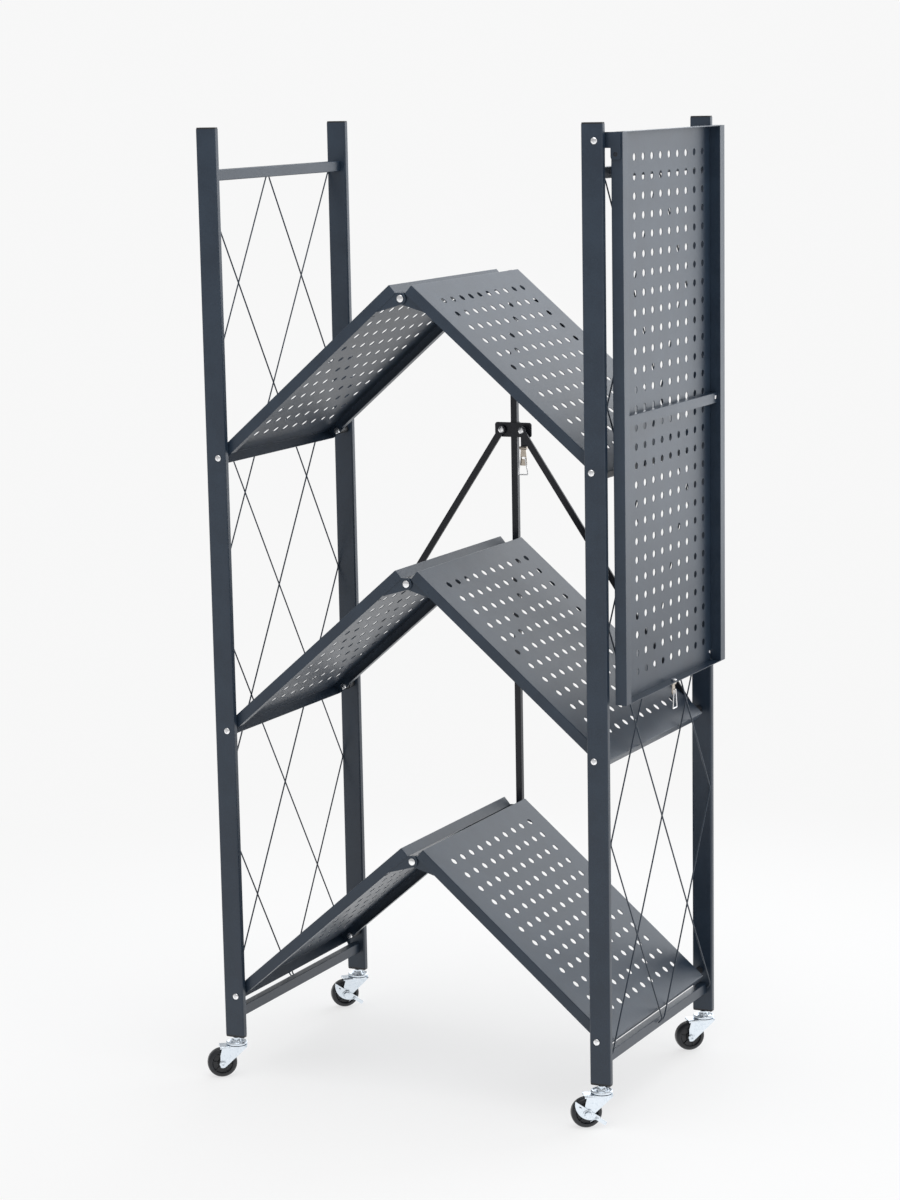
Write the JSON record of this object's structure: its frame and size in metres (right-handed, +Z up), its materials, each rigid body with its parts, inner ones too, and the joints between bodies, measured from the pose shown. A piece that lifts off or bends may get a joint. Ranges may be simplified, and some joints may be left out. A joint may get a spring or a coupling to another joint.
{
  "type": "folding storage rack",
  "caption": "Folding metal storage rack on swivel casters, half folded, with perforated shelves that hinge in the middle, wire side lattices and a hanging top panel.",
  "frame": {"origin": "centre of the rack's footprint box, on the floor, in the half folded pose", "axes": "+X from the left frame to the right frame, which carries the hanging top panel; +Y from the front uprights to the rear ones, where the link rod and braces are; +Z up"},
  "size_m": [0.6039, 0.4016, 1.2569],
  "materials": {
    "slate": "semi-matt dark grey powder coat",
    "zinc": "bright zinc plating",
    "nickel": "nickel plating",
    "wheel_black": "matt black"
  },
  "bodies": {
    "left_frame": {"left_bottom_rail": "slate", "left_front_caster_stem": "zinc", "left_front_lower_bolt": "zinc", "left_front_middle_bolt": "zinc", "left_front_upper_bolt": "zinc", "left_front_upright": "slate", "left_lattice": "slate", "left_rear_caster_stem": "zinc", "left_rear_lower_bolt": "zinc", "left_rear_middle_bolt": "zinc", "left_rear_upper_bolt": "zinc", "left_rear_upright": "slate", "left_top_rail": "slate"},
    "right_frame": {"right_bottom_rail": "slate", "right_front_caster_stem": "zinc", "right_front_lower_bolt": "zinc", "right_front_middle_bolt": "zinc", "right_front_upper_bolt": "zinc", "right_front_upright": "slate", "right_lattice": "slate", "right_rear_caster_stem": "zinc", "right_rear_lower_bolt": "zinc", "right_rear_middle_bolt": "zinc", "right_rear_upper_bolt": "zinc", "right_rear_upright": "slate", "right_top_rail": "slate"},
    "upper_left": {"upper_left_shelf": "slate", "upper_apex_front_pin": "zinc", "upper_apex_rear_pin": "zinc"},
    "upper_right": {"upper_right_shelf": "slate"},
    "middle_left": {"middle_left_shelf": "slate", "middle_apex_front_pin": "zinc", "middle_apex_rear_pin": "zinc"},
    "middle_right": {"middle_right_shelf": "slate"},
    "lower_left": {"lower_left_shelf": "slate", "lower_apex_front_pin": "zinc", "lower_apex_rear_pin": "zinc"},
    "lower_right": {"lower_right_shelf": "slate"},
    "rod": {"link_rod": "slate"},
    "collar": {"collar": "slate"},
    "left_brace": {"left_brace": "slate"},
    "right_brace": {"right_brace": "slate"},
    "collar_lever": {"collar_latch_lever": "nickel"},
    "collar_bail": {"collar_latch_bail": "zinc"},
    "top_panel": {"top_panel": "slate", "front_hinge_bracket": "slate", "rear_hinge_bracket": "slate"},
    "panel_lever": {"panel_latch_lever": "nickel"},
    "panel_bail": {"panel_latch_bail": "zinc"},
    "left_front_fork": {"left_front_fork": "zinc"},
    "left_front_wheel": {"left_front_wheel": "wheel_black"},
    "left_rear_fork": {"left_rear_fork": "zinc"},
    "left_rear_wheel": {"left_rear_wheel": "wheel_black"},
    "left_rear_brake": {"left_rear_brake": "zinc"},
    "right_front_fork": {"right_front_fork": "zinc"},
    "right_front_wheel": {"right_front_wheel": "wheel_black"},
    "right_front_brake": {"right_front_brake": "zinc"},
    "right_rear_fork": {"right_rear_fork": "zinc"},
    "right_rear_wheel": {"right_rear_wheel": "wheel_black"}
  },
  "joints": [
    {"name": "fold", "type": "hinge", "parent": "left_frame", "child": "middle_left", "pos_m": [-0.26155, -0.1771, 0.4757], "axis": [0, -1, 0], "range_deg": [-40.6, 47]},
    {"name": "middle_apex", "type": "hinge", "parent": "middle_left", "child": "middle_right", "pos_m": [0.00126, -0.1771, 0.68384], "axis": [0, -1, 0], "range_deg": [-94.05, 81.25]},
    {"name": "right_frame_pivot", "type": "hinge", "parent": "middle_right", "child": "right_frame", "pos_m": [0.26408, -0.1771, 0.4757], "axis": [0, -1, 0], "range_deg": [-40.65, 47.05]},
    {"name": "upper_left_pivot", "type": "hinge", "parent": "left_frame", "child": "upper_left", "pos_m": [-0.26155, -0.1771, 0.8369], "axis": [0, -1, 0], "range_deg": [-40.65, 47.05]},
    {"name": "upper_right_pivot", "type": "hinge", "parent": "right_frame", "child": "upper_right", "pos_m": [0.26408, -0.1771, 0.8369], "axis": [0, -1, 0], "range_deg": [-47.05, 40.65]},
    {"name": "lower_left_pivot", "type": "hinge", "parent": "left_frame", "child": "lower_left", "pos_m": [-0.26155, -0.1771, 0.1117], "axis": [0, -1, 0], "range_deg": [-40.65, 47.05]},
    {"name": "lower_right_pivot", "type": "hinge", "parent": "right_frame", "child": "lower_right", "pos_m": [0.26408, -0.1771, 0.1117], "axis": [0, -1, 0], "range_deg": [-47.05, 40.65]},
    {"name": "rod_pivot", "type": "hinge", "parent": "middle_left", "child": "rod", "pos_m": [0.00126, -0.1771, 0.68384], "axis": [0, -1, 0], "range_deg": [-47.05, 40.65]},
    {"name": "collar_slide", "type": "slide", "parent": "rod", "child": "collar", "axis": [0, 0, 1], "range_m": [-0.0522, 0.04516]},
    {"name": "left_brace_pivot", "type": "hinge", "parent": "left_frame", "child": "left_brace", "pos_m": [-0.26155, -0.1771, 0.4757], "axis": [0, -1, 0], "range_deg": [-26.85, 31.07]},
    {"name": "right_brace_pivot", "type": "hinge", "parent": "right_frame", "child": "right_brace", "pos_m": [0.26408, -0.1771, 0.4757], "axis": [0, -1, 0], "range_deg": [-31.07, 26.85]},
    {"name": "collar_lever_pivot", "type": "hinge", "parent": "collar", "child": "collar_lever", "pos_m": [0.01726, 0.1637, 0.82078], "axis": [1, 0, 0], "range_deg": [-100, 0]},
    {"name": "collar_bail_pivot", "type": "hinge", "parent": "collar_lever", "child": "collar_bail", "pos_m": [0.01726, 0.1618, 0.80878], "axis": [1, 0, 0], "range_deg": [-75, 0]},
    {"name": "panel_hinge", "type": "hinge", "parent": "right_frame", "child": "top_panel", "pos_m": [0.27158, -0.1771, 1.2369], "axis": [0, -1, 0], "range_deg": [0, 270]},
    {"name": "panel_lever_pivot", "type": "hinge", "parent": "top_panel", "child": "panel_lever", "pos_m": [0.29708, 0.0054, 0.5443], "axis": [0, -1, 0], "range_deg": [0, 100]},
    {"name": "panel_bail_pivot", "type": "hinge", "parent": "panel_lever", "child": "panel_bail", "pos_m": [0.29898, 0.0054, 0.5363], "axis": [0, -1, 0], "range_deg": [0, 60]},
    {"name": "left_front_swivel", "type": "hinge", "parent": "left_frame", "child": "left_front_fork", "pos_m": [-0.26555, -0.1721, 0.0399], "axis": [0, 0, 1], "continuous": true},
    {"name": "left_front_spin", "type": "hinge", "parent": "left_front_fork", "child": "left_front_wheel", "pos_m": [-0.28218, -0.18374, 0.0199], "axis": [-0.5736, 0.8192, 0], "continuous": true},
    {"name": "left_rear_swivel", "type": "hinge", "parent": "left_frame", "child": "left_rear_fork", "pos_m": [-0.26555, 0.1829, 0.0399], "axis": [0, 0, 1], "continuous": true},
    {"name": "left_rear_spin", "type": "hinge", "parent": "left_rear_fork", "child": "left_rear_wheel", "pos_m": [-0.28111, 0.16986, 0.0199], "axis": [-0.6428, 0.766, 0], "continuous": true},
    {"name": "left_rear_brake_pivot", "type": "hinge", "parent": "left_rear_fork", "child": "left_rear_brake", "pos_m": [-0.28111, 0.16986, 0.0199], "axis": [-0.6428, 0.766, 0], "range_deg": [0, 12]},
    {"name": "right_front_swivel", "type": "hinge", "parent": "right_frame", "child": "right_front_fork", "pos_m": [0.26808, -0.1721, 0.0399], "axis": [0, 0, 1], "continuous": true},
    {"name": "right_front_spin", "type": "hinge", "parent": "right_front_fork", "child": "right_front_wheel", "pos_m": [0.25125, -0.18345, 0.0199], "axis": [-0.5592, 0.829, 0], "continuous": true},
    {"name": "right_front_brake_pivot", "type": "hinge", "parent": "right_front_fork", "child": "right_front_brake", "pos_m": [0.25125, -0.18345, 0.0199], "axis": [-0.5592, 0.829, 0], "range_deg": [0, 12]},
    {"name": "right_rear_swivel", "type": "hinge", "parent": "right_frame", "child": "right_rear_fork", "pos_m": [0.26808, 0.1829, 0.0399], "axis": [0, 0, 1], "continuous": true},
    {"name": "right_rear_spin", "type": "hinge", "parent": "right_rear_fork", "child": "right_rear_wheel", "pos_m": [0.2523, 0.17013, 0.0199], "axis": [-0.6293, 0.7771, 0], "continuous": true}
  ],
  "couplings": [
    {"joint": "middle_apex", "follows": "fold", "ratio": -2},
    {"joint": "right_frame_pivot", "follows": "fold", "ratio": 1},
    {"joint": "upper_left_pivot", "follows": "fold", "ratio": 1},
    {"joint": "upper_right_pivot", "follows": "fold", "ratio": -1},
    {"joint": "lower_left_pivot", "follows": "fold", "ratio": 1},
    {"joint": "lower_right_pivot", "follows": "fold", "ratio": -1},
    {"joint": "rod_pivot", "follows": "fold", "ratio": -1},
    {"joint": "collar_slide", "follows": "fold", "m_per_rad": -0.063025},
    {"joint": "left_brace_pivot", "follows": "fold", "ratio": 0.66},
    {"joint": "right_brace_pivot", "follows": "fold", "ratio": -0.66}
  ]
}
